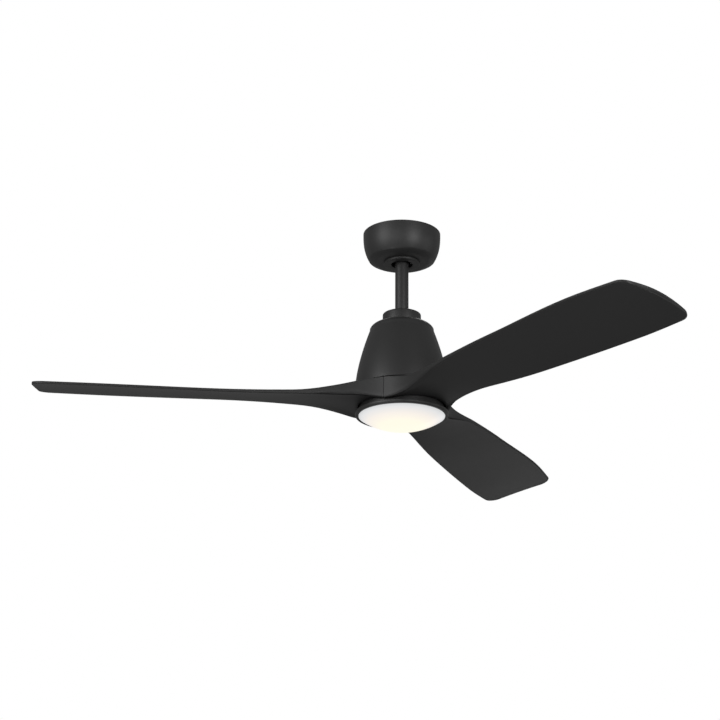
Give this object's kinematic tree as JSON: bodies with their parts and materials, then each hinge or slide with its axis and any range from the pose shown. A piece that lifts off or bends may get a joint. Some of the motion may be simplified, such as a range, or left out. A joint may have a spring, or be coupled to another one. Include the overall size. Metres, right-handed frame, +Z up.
{
  "type": "ceiling fan with light",
  "caption": "Black ceiling fan with propeller blades, a short downrod from a round canopy, a tapered motor housing and a flush opal LED light.",
  "frame": {"origin": "centre of the hanger bracket's top face, midway between its outlet box slots, on the ceiling plane", "axes": "+Z up into the ceiling, along the fan's axis; +X along the line of the two outlet box slots, away from blade 2"},
  "size_m": [1.1195, 1.278, 0.4101],
  "materials": {
    "black_paint": "matte black powder coat",
    "black_blade": "matte black moulded finish",
    "ball_plastic": "matte",
    "zinc_steel": "zinc plated",
    "bright_steel": "ground",
    "cast_aluminium": "as cast",
    "lamination": "stacked sheet",
    "magnet": "sintered",
    "copper_wire": "enamelled copper",
    "green_screw": "green",
    "receiver_plastic": "matte",
    "white_plastic": "satin",
    "wire_cover": "smooth",
    "board_white": "solder mask",
    "led_yellow": "phosphor",
    "opal": "opal, satin"
  },
  "bodies": {
    "mount": {"hanger_bracket": "zinc_steel", "ground_screw": "green_screw", "receiver": "receiver_plastic", "receiver_clip": "zinc_steel", "canopy": "black_paint", "canopy_screws": "zinc_steel"},
    "canopy_ring": {"canopy_ring": "black_paint"},
    "hanger": {"hanger_ball": "ball_plastic", "ball_pin": "bright_steel", "ball_set_screw": "bright_steel", "downrod": "black_paint", "lead_wires": "wire_cover", "lead_plug": "white_plastic", "light_plug": "white_plastic", "yoke": "cast_aluminium", "yoke_pin": "bright_steel", "yoke_clip": "bright_steel", "yoke_bolts": "bright_steel", "motor_housing": "black_paint", "housing_screws": "zinc_steel", "motor_shaft": "bright_steel", "stator_core": "lamination", "stator_windings": "copper_wire", "upper_bearing_inner": "bright_steel", "lower_bearing_inner": "bright_steel", "light_bracket": "zinc_steel", "light_nut": "bright_steel", "light_pan": "black_paint", "light_pan_screws": "zinc_steel", "led_driver": "white_plastic", "driver_screws": "zinc_steel", "led_plate": "cast_aluminium", "led_board": "board_white", "led_chips": "led_yellow", "led_board_screws": "zinc_steel", "trim_ring": "black_paint", "trim_screws": "zinc_steel"},
    "coupling_cover": {"coupling_cover": "black_paint"},
    "rotor": {"rotor_upper_cover": "cast_aluminium", "rotor_lower_cover": "cast_aluminium", "rotor_magnets": "magnet", "rotor_screws": "zinc_steel", "upper_bearing_outer": "bright_steel", "upper_bearing_balls": "bright_steel", "lower_bearing_outer": "bright_steel", "lower_bearing_balls": "bright_steel", "blade_hub": "cast_aluminium", "hub_screws": "zinc_steel", "blade_1": "black_blade", "blade_2": "black_blade", "blade_3": "black_blade", "blade_plate_1": "zinc_steel", "blade_plate_2": "zinc_steel", "blade_plate_3": "zinc_steel", "blade_screws": "zinc_steel"},
    "lens": {"lens": "opal"}
  },
  "joints": [
    {"name": "ball_tilt", "type": "hinge", "parent": "mount", "child": "hanger", "pos_m": [0, 0, -0.036], "axis": [1, 0, 0], "range_deg": [-12, 12]},
    {"name": "rotor_spin", "type": "hinge", "parent": "hanger", "child": "rotor", "pos_m": [0, 0, -0.274], "axis": [0, 0, 1], "continuous": true},
    {"name": "coupling_cover_slide", "type": "slide", "parent": "hanger", "child": "coupling_cover", "axis": [0, 0, 1], "range_m": [0, 0.08]},
    {"name": "canopy_ring_twist", "type": "hinge", "parent": "mount", "child": "canopy_ring", "pos_m": [0, 0, -0.063], "axis": [0, 0, 1], "range_deg": [0, 20]},
    {"name": "lens_twist", "type": "hinge", "parent": "hanger", "child": "lens", "pos_m": [0, 0, -0.384], "axis": [0, 0, 1], "range_deg": [0, 18]}
  ]
}
